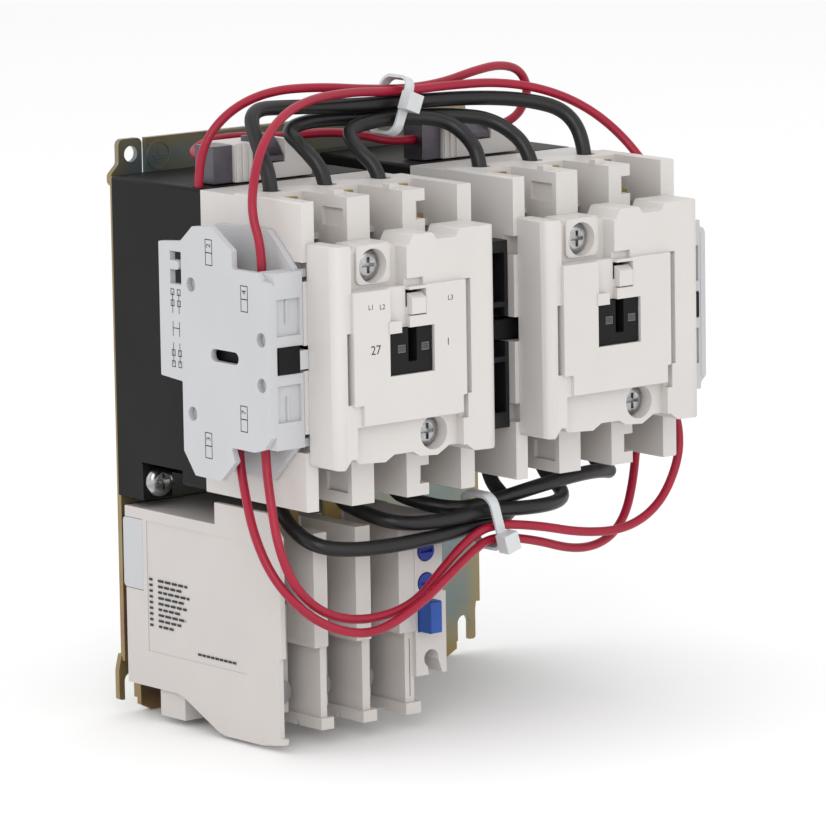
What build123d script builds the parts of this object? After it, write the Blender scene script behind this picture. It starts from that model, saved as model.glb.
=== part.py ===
from build123d import *
import os
from math import pi, tan, radians

# Reversing magnetic motor starter on a steel mounting plate.  Millimetres.
# X runs to the right seen from the front, Y runs back towards the panel, Z is up.
# Pieces are drawn with Z = 0 at the plate's centre, and saved with the origin
# midway between the two upper fixing holes, on the panel face.

os.makedirs("parts", exist_ok=True)

# ---- driving dimensions
PLATE_LEFT = -72.4
PLATE_RIGHT = 70.9
PLATE_H = 180.0
PLATE_T = 2.0
EAR_SETBACK = 1.6  # the corner ears lie this far behind the main sheet
HOLE_X = 64.5  # fixing holes each side of centre
TOP_HOLE_Z = 85.2
SLOT_X = (-69.0, 65.3)  # the two open slots at the bottom
SLOT_Z = -80.2
HOLE_R = 2.5

CONTACTOR_W = 65.0
CONTACTOR_PITCH = 81.5
MID_Z = 33.0  # height of the contactors' middle
BASE_DEPTH = 45.6
BASE_HALF_H = 46.3
HOUSING_DEPTH = 49.9
HOUSING_HALF_H = 46.8
COVER_DEPTH = 14.0
POLES = (-21.6, -0.4, 20.8)  # pole centres from the contactor's centre
POLE_HALF = 6.3
CLEAR = 0.3
TERMINAL_Z = 41.0
WIRE_Y = 28.5  # conductor holes, measured back from the housing front
WIRE_SEAT_Z = 38.0  # where a conductor stops inside its hole, from the contactor's middle
STRAP_Y = 19.9  # depth of the terminal straps under their screws

POWER_D = 4.6  # power jumpers
CONTROL_D = 2.8  # control wires

PLATE_BACK = -EAR_SETBACK
PLATE_FRONT = PLATE_BACK - PLATE_T
SEAM = PLATE_FRONT - BASE_DEPTH
FRONT = SEAM - HOUSING_DEPTH  # front plane of the contact housings
HALF_W = CONTACTOR_W / 2
LEFT_X = -CONTACTOR_PITCH / 2
RIGHT_X = CONTACTOR_PITCH / 2
SIDES = {"left": LEFT_X, "right": RIGHT_X}


# ---- helpers
def block(x, y, z, mode=Mode.ADD):
    """A box between pairs of limits, added to or cut from the part being built."""
    centre = ((x[0] + x[1]) / 2, (y[0] + y[1]) / 2, (z[0] + z[1]) / 2)
    with Locations(centre):
        Box(x[1] - x[0], y[1] - y[0], z[1] - z[0], mode=mode)


def rod(start, end, radius, mode=Mode.ADD):
    """A cylinder from one point to another."""
    axis = Vector(*end) - Vector(*start)
    with Locations(Plane(origin=start, z_dir=axis)):
        Cylinder(radius, axis.length, align=(Align.CENTER, Align.CENTER, Align.MIN), mode=mode)


def facing(y):
    """A plane at depth y whose sketch axes are X and Z and whose normal points forward, to -Y."""
    return Plane(origin=(0, y, 0), x_dir=(1, 0, 0), z_dir=(0, -1, 0))


def sideways(x):
    """A plane at x whose sketch axes are Y and Z and whose normal points to +X."""
    return Plane(origin=(x, 0, 0), x_dir=(0, 1, 0), z_dir=(1, 0, 0))


def slab(points, plane, thickness, corner=0.0, mode=Mode.ADD):
    """A polygon on a plane, with its corners rounded, extruded along the plane's normal."""
    with BuildSketch(plane) as outline:
        with BuildLine():
            Polyline(points, close=True)
        make_face()
        if corner > 0:
            fillet(outline.vertices(), corner)
    extrude(outline.sketch, amount=thickness, mode=mode)


def back(y):
    """Depth y behind the housing front, as a Y coordinate."""
    return FRONT + y


def pan_head(x, y, z, head_r, head_h, shank_r, shank_len):
    """A pan-head screw with a cross recess, its head's underside at y and its shank towards +Y."""
    with BuildPart(mode=Mode.PRIVATE) as screw:
        rod((x, y, z), (x, y - head_h, z), head_r)
        fillet(screw.edges().sort_by(Axis.Y)[0], head_h * 0.8)
        rod((x, y + shank_len, z), (x, y - 0.01, z), shank_r)
        arm = head_r * 0.5
        slot = head_r * 0.11
        recess = (y - head_h - 1, y - head_h * 0.45)
        block((x - arm, x + arm), recess, (z - slot, z + slot), Mode.SUBTRACT)
        block((x - slot, x + slot), recess, (z - arm, z + arm), Mode.SUBTRACT)
    add(screw.part)


def save(part, name):
    """Writes a piece, moved from the drawing origin to the fixing holes' origin."""
    placed = part.moved(Location((0, 0, -TOP_HOLE_Z)))
    placed.label = name
    export_step(placed, f"parts/{name}.step")


# ---- mounting plate
def mounting_plate():
    top = PLATE_H / 2
    ear_in = 60.2
    ear_out = 69.2
    ear_z = top - 13.0
    joggle_z = ear_z + 2.0
    foot_z = -73.4
    tip_z = -86.0
    sides = ((-1, PLATE_LEFT, SLOT_X[0], -66.6, -73.6), (1, PLATE_RIGHT, SLOT_X[1], 61.0, 70.2))
    with BuildPart() as plate:
        outline = []
        for sign, edge, slot_x, inner, outer in sides:
            side = [(sign * (ear_in - 0.5), top), (sign * (ear_in - 0.5), joggle_z), (edge, joggle_z),
                     (edge, foot_z),
                    (inner, foot_z), (inner, 2 - top), (inner - sign * 4, -top)]
            outline = outline + side[::sign]
        slab(outline, facing(PLATE_BACK), PLATE_T)
        # shallow stiffening step along the top edge
        block((-36.5, 36.5), (PLATE_FRONT - 1.2, PLATE_BACK - 1.2), (80.5, top - 0.2))
        for sign, edge, slot_x, inner, outer in sides:
            # ears set back to the panel, joined to the main sheet by a short step
            slab([(sign * ear_in, ear_z - 1.5), (edge, ear_z - 1.5), (edge, ear_z + 2.3),
                 (sign * ear_out, ear_z + 5.4),
                  (sign * ear_out, top), (sign * ear_in, top)], facing(0), PLATE_T, 2.0)
            block(tuple(sorted((sign * ear_in, edge))), (PLATE_FRONT, 0), (ear_z, joggle_z))
            foot_in = inner - sign * 4
            slab([(foot_in, foot_z + 2), (edge, foot_z + 2), (outer, foot_z - 3), (outer, tip_z),
                 (foot_in, tip_z)],
                 facing(0), PLATE_T, 1.0)
            block(tuple(sorted((foot_in, edge))), (PLATE_FRONT, 0), (foot_z, foot_z + 2))
            rod((sign * HOLE_X, 1, TOP_HOLE_Z), (sign * HOLE_X, -5, TOP_HOLE_Z), HOLE_R, Mode.SUBTRACT)
            rod((slot_x, 1, SLOT_Z), (slot_x, -5, SLOT_Z), HOLE_R, Mode.SUBTRACT)
            block((slot_x - HOLE_R, slot_x + HOLE_R), (-5, 1), (-top - 1, SLOT_Z), Mode.SUBTRACT)
        # earth symbol pressed into the sheet
        mark = (-55.0, 84.2)
        raised = (PLATE_FRONT - 0.3, PLATE_FRONT + 0.1)
        rod((mark[0], raised[1], mark[1]), (mark[0], raised[0], mark[1]), 4.5)
        rod((mark[0], PLATE_FRONT, mark[1]), (mark[0], PLATE_FRONT - 1, mark[1]), 4.0, Mode.SUBTRACT)
        block((mark[0] - 0.25, mark[0] + 0.25), raised, (mark[1], mark[1] + 2.6))
        for row, half in enumerate((2.4, 1.6, 0.8)):
            z = mark[1] - row * 1.0
            block((mark[0] - half, mark[0] + half), raised, (z - 0.2, z + 0.2))
        for x, z in base_screw_places():
            rod((x, 1, z), (x, -6, z), 2.15, Mode.SUBTRACT)
    save(plate.part, "mounting_plate")


def base_screw_places():
    return [(centre + sign * (HALF_W - 5.5), MID_Z - 48.0) for centre in SIDES.values() for sign in (-1, 1)]


BASE_FOOT_Y = (back(82.5), PLATE_FRONT)
COIL_WIRE_SEAT_Z = MID_Z + 42.3


# ---- contactor: rear magnet base
def magnet_base(side, cx):
    bottom = MID_Z - BASE_HALF_H
    top = MID_Z + BASE_HALF_H
    with BuildPart() as base:
        block((cx - HALF_W, cx + HALF_W), (SEAM, PLATE_FRONT), (bottom, top))
        outer_edges = base.edges().filter_by(Axis.Y)
        fillet(outer_edges, 1.0)
        # cavity for the magnet, open to the front
        block((cx - 27, cx + 27), (SEAM - 1, PLATE_FRONT - 3), (MID_Z - 40, MID_Z + 40), Mode.SUBTRACT)
        # slot for the coil's terminal tower
        block((cx - 13, cx + 12.5), (back(62), back(65)), (MID_Z + 38, top + 1), Mode.SUBTRACT)
        for sign in (-1, 1):
            # lower corner cut away so a driver reaches the fixing screw
            corner = tuple(sorted((cx + sign * (HALF_W + 1), cx + sign * (HALF_W - 12))))
            block(corner, (back(62), BASE_FOOT_Y[0] + 0.5), (bottom - 1, bottom + 4.6), Mode.SUBTRACT)
            foot = tuple(sorted((cx + sign * HALF_W, cx + sign * (HALF_W - 11))))
            block(foot, BASE_FOOT_Y, (MID_Z - 53.5, bottom + 4))
        for x, z in base_screw_places():
            if abs(x - cx) < HALF_W:
                rod((x, 0, z), (x, back(70), z), 2.2, Mode.SUBTRACT)
        if side == "left":
            rod((-70.4, -44.6, top + 1), (-70.4, -44.6, COIL_WIRE_SEAT_Z), CONTROL_D / 2 + 0.4, Mode.SUBTRACT)
    save(base.part, f"{side}_magnet_base")


# ---- contactor: front contact housing
def contact_housing(side, cx):
    bottom = MID_Z - HOUSING_HALF_H
    top = MID_Z + HOUSING_HALF_H
    with BuildPart() as housing:
        block((cx - HALF_W, cx + HALF_W), (FRONT, SEAM), (bottom, top))
        fillet(housing.edges().filter_by(Axis.Y), 0.6)
        block((cx - HALF_W - 1, cx + HALF_W + 1), (back(33), SEAM + 1), (top - 0.7, top + 1), Mode.SUBTRACT)
        for pole in POLES:
            x = cx + pole
            # terminal well, open to the front, and the arc chamber behind the fixed contacts
            block((x - POLE_HALF, x + POLE_HALF), (FRONT - 1, back(14.2)), (bottom - 1, top + 1),
                  Mode.SUBTRACT)
            block((x - POLE_HALF, x + POLE_HALF), (back(14), back(33)), (MID_Z - 33, MID_Z + 33),
                  Mode.SUBTRACT)
            for sign in (-1, 1):
                end = MID_Z + sign * (HOUSING_HALF_H + 1)
                seat = MID_Z + sign * WIRE_SEAT_Z
                deep = tuple(sorted((MID_Z + sign * 34.8, end)))
                block((x - POLE_HALF, x + POLE_HALF), (back(14), back(STRAP_Y + 1.6)), deep, Mode.SUBTRACT)
                rod((x, back(WIRE_Y), seat), (x, back(WIRE_Y), end), POWER_D / 2 + 0.6, Mode.SUBTRACT)
                screw_z = MID_Z + sign * TERMINAL_Z
                rod((x, back(14), screw_z), (x, back(25.9), screw_z), 2.1, Mode.SUBTRACT)
        # passage for the crosshead bar through the barrier walls, and for its stem
        block((cx - 28.2, cx + 27.4), (FRONT - 1, back(16.5)), (MID_Z - 9.8, MID_Z + 9.8), Mode.SUBTRACT)
        block((cx - 7.6, cx + 7.6), (back(14), SEAM + 1), (MID_Z - 6.6, MID_Z + 6.6), Mode.SUBTRACT)
        # pocket for the crosshead's rear flange
        block((cx - 13, cx + 13), (back(45.7), SEAM + 1), (MID_Z - 18, MID_Z + 18), Mode.SUBTRACT)
        for sign in (-1, 1):
            # side slots for the tabs that couple the crosshead to its neighbours
            edge = cx + sign * HALF_W
            slot = tuple(sorted((edge - sign * 6, edge + sign)))
            block(slot, (FRONT - 1, back(16.5)), (MID_Z - 3.8, MID_Z + 3.8), Mode.SUBTRACT)
            # moulded details of the barrier walls, above and below the cover
            z_notch = tuple(sorted((MID_Z + sign * 37.6, MID_Z + sign * 43.2)))
            block((cx + 11.0, cx + 14.6), (FRONT - 1, back(4)), z_notch, Mode.SUBTRACT)
            block((cx - 15.5, cx - 14.1), (back(2), back(12)), z_notch, Mode.SUBTRACT)
            # latch pockets for the cover's side clips
            z_latch = tuple(sorted((MID_Z + sign * 23.0, MID_Z + sign * 28.8)))
            for edge_sign in (-1, 1):
                x_edge = cx + edge_sign * HALF_W
                pocket = tuple(sorted((x_edge - edge_sign * 3.6, x_edge + edge_sign)))
                block(pocket, (FRONT - 1, back(5)), z_latch, Mode.SUBTRACT)
        # small locating cleats on the top deck
        for x in (cx - 13.5, cx + 7.5):
            block((x - 1.8, x + 1.8), (back(6), back(9)), (top - 0.2, top + 1.4))
        # cover screw bosses' threaded holes
        for x, z in cover_screw_places(cx):
            rod((x, back(0), z), (x, back(12), z), 1.75, Mode.SUBTRACT)
    save(housing.part, f"{side}_contact_housing")


def cover_screw_places(cx):
    return [(cx - 13.6, MID_Z + 27.0), (cx + 8.0, MID_Z - 25.7)]


WINDOW_X = (-11.7, 5.3)  # indicator window, from the contactor's centre
WINDOW_Z = (-6.1, 8.0)
LIP_X = -7.4  # the window's raised corner lip ends here
LIP_Z = 6.8


# ---- contactor: front cover
def front_cover(side, cx):
    face = FRONT - COVER_DEPTH
    wall = 3.4
    upper_field = face + 5.2
    lower_field = face + 3.2
    through = (face - 3, FRONT + 2)

    def shape(points):
        return [(cx + x, MID_Z + z) for x, z in points]

    left, right = -31.0, 31.0
    top_edge = [(left, 34.4), (-25.6, 34.4), (-23.6, 32.0), (-20.6, 32.0), (-19.8, 33.7), (-7.0, 33.7),
                (-5.4, 32.2), (-3.4, 32.2), (-1.4, 35.6), (6.0, 35.6), (7.6, 33.4), (15.2, 33.4),
                (16.4, 35.8),
                (right - 1.5, 35.8), (right, 33.4)]
    bottom_edge = [(right, -31.0), (right - 2, -32.6), (21.3, -32.4), (18.2, -30.2), (13.9, -30.2),
                   (9.4, -32.7), (2.6, -32.3), (0.1, -30.7), (-7.3, -30.7), (-10.7, -32.6), (-21.0, -32.0),
                   (-22.6, -29.8), (-26.0, -29.8), (-28.4, -32.8), (left, -32.8)]
    with BuildPart() as cover:
        slab(shape(top_edge + bottom_edge), facing(FRONT - 0.1), COVER_DEPTH - 0.1, 0.7)
        # front corners of the two sides rounded from top to bottom
        with BuildSketch(Plane.XY.offset(MID_Z - 40)) as plan:
            with Locations((cx, FRONT)):
                RectangleRounded(right - left, 2 * COVER_DEPTH, 3.6)
        extrude(plan.sketch, amount=80, mode=Mode.INTERSECT)
        # hollows behind the face
        block((cx + left + 2, cx + right - 2), (face + wall, FRONT + 1), (MID_Z - 19.5, MID_Z + 19.5),
              Mode.SUBTRACT)
        block((cx - 1.5, cx + 28.5), (face + wall, FRONT + 1), (MID_Z + 21.5, MID_Z + 30.5), Mode.SUBTRACT)
        block((cx - 28.5, cx - 1.0), (lower_field + 2, FRONT + 1), (MID_Z - 28, MID_Z - 21.5), Mode.SUBTRACT)
        # sunken field round the upper screw, with the screw's square boss
        slab(shape([(-25.2, 20.4), (-4.0, 20.4), (-4.0, 37.0), (-25.2, 37.0)]), facing(upper_field), 8, 0,
             Mode.SUBTRACT)
        slab(shape([(-19.8, 21.6), (-7.0, 21.6), (-7.0, 33.5), (-19.8, 33.5)]), facing(upper_field + 0.2),
             1.2, 2.0)
        # raised label panel, and the channel that runs down it to the window
        panel = shape([(-25.4, 20.4), (17.6, 20.4), (17.6, -14.6), (16.2, -14.6), (16.2, -20.0),
                      (-21.8, -20.0),
                       (-21.8, -13.8), (-25.4, -13.8)])
        slab(panel, facing(face + 0.5), 1.7, 0.3)
        block((cx - 11.4, cx - 4.0), (face - 3, face + 0.9), (MID_Z + WINDOW_Z[1] - 0.1, MID_Z + 21),
              Mode.SUBTRACT)
        # lower field, a step behind the face
        slab(shape([(-23.6, -20.4), (17.0, -20.4), (17.0, -34), (-23.6, -34)]), facing(lower_field), 6, 0,
             Mode.SUBTRACT)
        # groove beside the right column, and the slit beside the label panel
        block((cx + 17.6, cx + 20.4), (face - 1, face + 2.0), (MID_Z - 14.6, MID_Z + 20.4), Mode.SUBTRACT)
        block((cx + 16.2, cx + 19.0), (face - 1, face + 2.0), (MID_Z - 22.0, MID_Z - 14.6), Mode.SUBTRACT)
        block((cx - 27.0, cx - 25.4), (face - 1, FRONT - 4), (MID_Z - 13.4, MID_Z + 8.2), Mode.SUBTRACT)
        # ledge above the slot with its moulded latch tongue
        block((cx - 4.0, cx + 2.2), (face - 2, face + 1.5), (MID_Z + 20.2, MID_Z + 22.6), Mode.SUBTRACT)
        block((cx - 4.0, cx + 2.4), through, (MID_Z + 11.4, MID_Z + 19.3), Mode.SUBTRACT)
        slab([(back(-COVER_DEPTH + 1), MID_Z + 11.8), (back(-COVER_DEPTH - 1.6), MID_Z + 11.8),
              (back(-COVER_DEPTH - 1.6), MID_Z + 16.6), (back(-COVER_DEPTH + 1), MID_Z + 18.4)],
             sideways(cx - 3.4), 5.4, 0.3)
        block((cx - 4.0, cx + 2.4), (face + 0.6, face + wall), (MID_Z + 10.4, MID_Z + 14.0))
        # indicator window with its raised corner lip
        block((cx + WINDOW_X[0], cx + WINDOW_X[1]), through,
              (MID_Z + WINDOW_Z[0], MID_Z + WINDOW_Z[1]), Mode.SUBTRACT)
        block((cx + WINDOW_X[0] - 0.4, cx + LIP_X), (face - 1.6, face + wall),
              (MID_Z + LIP_Z, MID_Z + LIP_Z + 3.6))
        # screw recesses
        for x, z in cover_screw_places(cx):
            rod((x, face - 3, z), (x, back(-4.8), z), 5.2, Mode.SUBTRACT)
            rod((x, FRONT + 1, z), (x, back(-6), z), 1.9, Mode.SUBTRACT)
    save(cover.part, f"{side}_front_cover")


# ---- contactor: magnet, coil and bobbin
CORE_FRONT = 62.0
CLAMP_WIRE_Z = MID_Z + 54.4
COIL_Y = (64.8, 82.0)


def magnet_core(side, cx):
    with BuildPart() as core:
        block((cx - 24, cx + 24), (back(83.8), back(91.5)), (MID_Z - 9, MID_Z + 9))
        for x in (-20, 0, 20):
            half = 7.5 if x == 0 else 4.0
            block((cx + x - half, cx + x + half), (back(CORE_FRONT), back(84)), (MID_Z - 9, MID_Z + 9))
    save(core.part, f"{side}_magnet_core")


def coil_bobbin(side, cx):
    with BuildPart() as bobbin:
        for y in ((62.6, 64.6), (82.0, 83.6)):
            block((cx - 15.4, cx + 15.4), (back(y[0]), back(y[1])), (MID_Z - 17.5, MID_Z + 17.5))
        block((cx - 9.2, cx + 9.2), (back(64), back(83)), (MID_Z - 10.6, MID_Z + 10.6))
        block((cx - 7.7, cx + 7.7), (back(60), back(90)), (MID_Z - 9.2, MID_Z + 9.2), Mode.SUBTRACT)
        # neck up to the terminal tower on top
        block((cx - 12, cx + 11.5), (back(62.6), back(64.6)), (MID_Z + 17, MID_Z + 50))
        tower = [(-17.6, 46.7), (-17.6, 58.5), (4.0, 58.5), (12.0, 48.5), (12.0, 46.7)]
        slab([(cx + x, MID_Z + z) for x, z in tower], facing(back(64.6)), 12.6, 0.4)
        # sideways wire entry to the clamp
        rod((cx + 1, -43.5, CLAMP_WIRE_Z), (cx + 14, -43.5, CLAMP_WIRE_Z), CONTROL_D / 2 + 0.4, Mode.SUBTRACT)
        # pocket for the clamp and ribs on the left post
        block((cx - 10.6, cx + 1.8), (back(51), back(59)), (MID_Z + 51.5, MID_Z + 60), Mode.SUBTRACT)
        for x in (-16.8, -14.4, -12.0):
            block((cx + x - 0.5, cx + x + 0.5), (back(51.4), back(52.2)), (MID_Z + 47, MID_Z + 58.3))
    save(bobbin.part, f"{side}_coil_bobbin")


def coil(side, cx):
    with BuildPart() as winding:
        block((cx - 14.6, cx + 14.6), (back(COIL_Y[0]), back(COIL_Y[1] - 0.2)), (MID_Z - 16.6, MID_Z + 16.6))
        fillet(winding.edges().filter_by(Axis.Y), 4)
        block((cx - 9.4, cx + 9.4), (back(60), back(90)), (MID_Z - 10.8, MID_Z + 10.8), Mode.SUBTRACT)
    save(winding.part, f"{side}_coil")


# ---- contactor: moving group
def armature(side, cx):
    with BuildPart() as plate:
        block((cx - 24, cx + 24), (back(50.2), back(55.6)), (MID_Z - 9, MID_Z + 9))
        fillet(plate.edges().filter_by(Axis.Z), 0.8)
    save(plate.part, f"{side}_armature")


def crosshead(side, cx, tab_sign):
    front = -COVER_DEPTH - 0.4
    with BuildPart() as carrier:
        block((cx - 27.6, cx + 26.8), (back(-4), back(9)), (MID_Z - 9.2, MID_Z + 9.2))
        block((cx - 7, cx + 7), (back(8), back(50)), (MID_Z - 6, MID_Z + 6))
        block((cx - 12, cx + 12), (back(46.2), back(50)), (MID_Z - 17, MID_Z + 17))
        for pole in POLES:
            x = cx + pole
            block((x - 4.4, x + 4.4), (back(-1), back(5.0)), (MID_Z - 10, MID_Z + 10), Mode.SUBTRACT)
        # indicator standing in the cover's window, with its centre slot and two witness squares
        x0 = cx + WINDOW_X[0] + CLEAR
        x1 = cx + WINDOW_X[1] - CLEAR
        z0 = MID_Z + WINDOW_Z[0] + CLEAR
        z1 = MID_Z + WINDOW_Z[1] - CLEAR
        block((x0, x1), (back(front), back(-3)), (z0, z1))
        middle = cx - 2.5
        block((middle - 1.6, middle + 1.6), (back(front - 1), back(-6)), (z0 + 3.4, z1 + 1), Mode.SUBTRACT)
        block((x0 - 1, cx + LIP_X + CLEAR), (back(front - 1), back(-3)), (MID_Z + LIP_Z - CLEAR, z1 + 1),
              Mode.SUBTRACT)
        for x in (middle - 4.0, middle + 5.0):
            block((x - 1.6, x + 1.6), (back(front - 1), back(front + 0.3)), (MID_Z + 0.3, MID_Z + 3.0),
                  Mode.SUBTRACT)
        # tab towards the interlock
        tab = tuple(sorted((cx + tab_sign * 26, cx + tab_sign * (HALF_W + 5.2))))
        block(tab, (back(3.4), back(8.6)), (MID_Z - 3.0, MID_Z + 3.0))
    save(carrier.part, f"{side}_crosshead")


def moving_contacts(side, cx):
    with BuildPart() as bridges:
        for pole in POLES:
            x = cx + pole
            block((x - 3.6, x + 3.6), (back(3.5), back(4.9)), (MID_Z - 19, MID_Z + 19))
            for sign in (-1, 1):
                z = MID_Z + sign * 16.4
                rod((x, back(4.8), z), (x, back(5.3), z), 2.6)
    save(bridges.part, f"{side}_moving_contacts")


def spring(x, y0, y1, z, radius, wire, turns):
    """A helical spring lying along Y, built in its own private context."""
    with BuildPart(mode=Mode.PRIVATE) as coil_part:
        height = y1 - y0 - 2 * wire
        with BuildLine() as helix:
            Helix(pitch=height / turns, height=height, radius=radius, center=(x, y0 + wire, z),
                  direction=(0, 1, 0))
        with BuildSketch(Plane(origin=helix.line @ 0, z_dir=helix.line % 0)) as section:
            Circle(wire)
        sweep(section.sketch, path=helix.line, is_frenet=True)
    return coil_part.part


def contact_springs(side, cx):
    coils = [spring(cx + pole, back(-0.8), back(3.3), MID_Z, 2.2, 0.35, 3) for pole in POLES]
    save(Compound(children=coils), f"{side}_contact_springs")


def return_springs(side, cx):
    coils = [spring(cx, back(50.1), back(62.5), MID_Z + sign * 13.4, 2.8, 0.45, 5) for sign in (-1, 1)]
    save(Compound(children=coils), f"{side}_return_springs")


# ---- terminals and screws
def power_strips(name, sign):
    """Fixed contact strips of all poles: line side above, load side below."""
    with BuildPart() as strips:
        for cx in SIDES.values():
            for pole in POLES:
                x = cx + pole
                inner = tuple(sorted((MID_Z + sign * 12.6, MID_Z + sign * 37)))
                riser = tuple(sorted((MID_Z + sign * 35.5, MID_Z + sign * 37)))
                outer = tuple(sorted((MID_Z + sign * 35.5, MID_Z + sign * 45.6)))
                block((x - 3.2, x + 3.2), (back(12.6), back(14.1)), inner)
                block((x - 3.2, x + 3.2), (back(12.6), back(STRAP_Y + 1.5)), riser)
                block((x - 3.2, x + 3.2), (back(STRAP_Y), back(STRAP_Y + 1.5)), outer)
                tip_z = MID_Z + sign * 16.4
                rod((x, back(12.7), tip_z), (x, back(11.6), tip_z), 2.6)
                screw_z = MID_Z + sign * TERMINAL_Z
                rod((x, back(STRAP_Y - 1), screw_z), (x, back(STRAP_Y + 3), screw_z), 1.9, Mode.SUBTRACT)
    save(strips.part, name)


def power_terminal_screws():
    with BuildPart() as screws:
        for cx in SIDES.values():
            for pole in POLES:
                for sign in (-1, 1):
                    pan_head(cx + pole, back(STRAP_Y - 0.1), MID_Z + sign * TERMINAL_Z, 3.4, 2.4, 1.8, 5.8)
    save(screws.part, "power_terminal_screws")


def cover_screws():
    with BuildPart() as screws:
        for cx in SIDES.values():
            for x, z in cover_screw_places(cx):
                pan_head(x, back(-4.9), z, 4.9, 2.7, 1.65, 15)
    save(screws.part, "cover_screws")


def base_screws():
    with BuildPart() as screws:
        for x, z in base_screw_places():
            pan_head(x, BASE_FOOT_Y[0] - 0.1, z, 4.9, 3.0, 2.05, 14.8)
    save(screws.part, "base_screws")


def coil_terminals():
    """Per coil: the black terminal block, the tilted clamp and the screw of the right-hand terminal."""
    with BuildPart() as terminals:
        for cx in SIDES.values():
            block((cx - 25.0, cx - 17.8), (back(53.0), back(62.4)), (MID_Z + 46.6, MID_Z + 58.2))
            slab([(back(52.3), MID_Z + 52.0), (back(58.6), MID_Z + 52.0), (back(58.6), MID_Z + 60.0),
                  (back(57.4), MID_Z + 60.0), (back(52.3), MID_Z + 53.6)], sideways(cx - 10.2), 11.6)
    save(terminals.part, "coil_terminals")


# ---- auxiliary contact block on the outer side of a contactor
AUX_T = 12.7
AUX_PLATE = 2.0
AUX_OUTLINE = [(0.0, 22.6), (0.9, 23.8), (3.6, 24.2), (5.6, 26.4), (18.0, 26.4), (18.0, 31.8), (28.5, 38.2),
               (37.5, 37.4), (43.6, 32.4), (54.6, 31.4), (54.6, -9.6), (43.8, -10.4), (43.8, -31.6),
               (38.2, -38.6),
               (25.6, -38.8), (18.2, -32.2), (20.0, -27.9), (8.5, -28.0), (3.6, -26.6), (0.0, -22.6)]
AUX_FLANGE = [(2.0, 22.0), (2.0, 27.0), (8.6, 33.0), (14.0, 37.6), (40.0, 37.0), (43.2, 31.0),
              (43.2, -31.0), (38.0, -38.0), (14.0, -38.4), (8.6, -33.0), (2.0, -27.0)]


def aux_span(sign, near, far):
    """X limits of a layer of the block, measured outward from the contactor's side."""
    edge = sign * (CONTACTOR_PITCH / 2 + HALF_W)
    return tuple(sorted((edge + sign * near, edge + sign * far)))


def at_depth(points):
    return [(back(y), MID_Z + z) for y, z in points]


def auxiliary_body(side, sign):
    inner = AUX_T - AUX_PLATE
    core = aux_span(sign, 2.0, inner - 0.05)
    flange = aux_span(sign, 0.15, 2.2)
    with BuildPart() as body:
        slab(at_depth(AUX_FLANGE), sideways(flange[0]), flange[1] - flange[0], 0.6)
        block(core, (back(0.1), back(43.0)), (MID_Z - 22.0, MID_Z + 22.0))
        front = (flange[0], core[1]) if sign > 0 else (core[0], flange[1])
        block(front, (back(0.1), back(7.3)), (MID_Z - 26.8, MID_Z + 26.5))
        # shallow front windows over the contact chambers, each with a short rib left standing
        recess = aux_span(sign, 1.2, inner - 0.8)
        rib = aux_span(sign, 5.6, 6.2)
        for low, high, rib_z in ((7.4, 18.6, 11.0), (-18.6, -7.4, -11.0)):
            block(recess, (back(-1), back(1.3)), (MID_Z + low, MID_Z + high), Mode.SUBTRACT)
            block(rib, (back(0.5), back(1.6)), tuple(sorted((MID_Z + rib_z, MID_Z + rib_z * 1.64))))
        # plunger passage, and the chamber its stem runs in, open to the slot in the cover
        block(aux_span(sign, -1, inner - 0.7), (back(-1), back(30)), (MID_Z - 4.2, MID_Z + 4.2),
              Mode.SUBTRACT)
        block(aux_span(sign, 3.2, inner - 0.7), (back(9), back(38)), (MID_Z - 4.2, MID_Z + 16), Mode.SUBTRACT)
        block(aux_span(sign, 3.2, inner + 1), (back(12.5), back(32)), (MID_Z - 4.0, MID_Z + 4.0),
              Mode.SUBTRACT)
        # back wall of the terminal wells above and below, and the hooks that hold the contactor
        for z in ((21.8, 30.0), (-30.0, -21.8)):
            block(core, (back(30), back(42)), (MID_Z + z[0], MID_Z + z[1]))
        for z in (25.6, -25.6):
            block(aux_span(sign, -2.2, 2.0), (back(1.0), back(3.4)), (MID_Z + z - 1.2, MID_Z + z + 1.2))
    save(body.part, f"{side}_auxiliary_body")


def auxiliary_cover(side, sign):
    layer = aux_span(sign, AUX_T - AUX_PLATE, AUX_T)
    through = aux_span(sign, 0, AUX_T + 1)
    with BuildPart() as cover:
        slab(at_depth(AUX_OUTLINE), sideways(layer[0]), AUX_PLATE, 0.5)
        # window of the rear ear, with the snap nub that reaches across it
        block(through, (back(43.4), back(49.0)), (MID_Z + 19.0, MID_Z + 29.0), Mode.SUBTRACT)
        block(layer, (back(46.0), back(49.5)), (MID_Z + 23.4, MID_Z + 26.2))
        rod((layer[0], back(46.0), MID_Z + 24.8), (layer[1], back(46.0), MID_Z + 24.8), 1.4)
        # oblong slot that shows the plunger, and four round windows
        slot_y, slot_r, slot_z = (17.4, 27.4), 1.9, MID_Z - 0.6
        block(through, (back(slot_y[0]), back(slot_y[1])), (slot_z - slot_r, slot_z + slot_r), Mode.SUBTRACT)
        for y in slot_y:
            rod((through[0], back(y), slot_z), (through[1], back(y), slot_z), slot_r, Mode.SUBTRACT)
        for y, z in ((38.7, 19.6), (4.3, 6.4), (4.4, -7.3), (39.0, -19.8)):
            rod((through[0], back(y), MID_Z + z), (through[1], back(y), MID_Z + z), 2.2, Mode.SUBTRACT)
    save(cover.part, f"{side}_auxiliary_cover")


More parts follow.
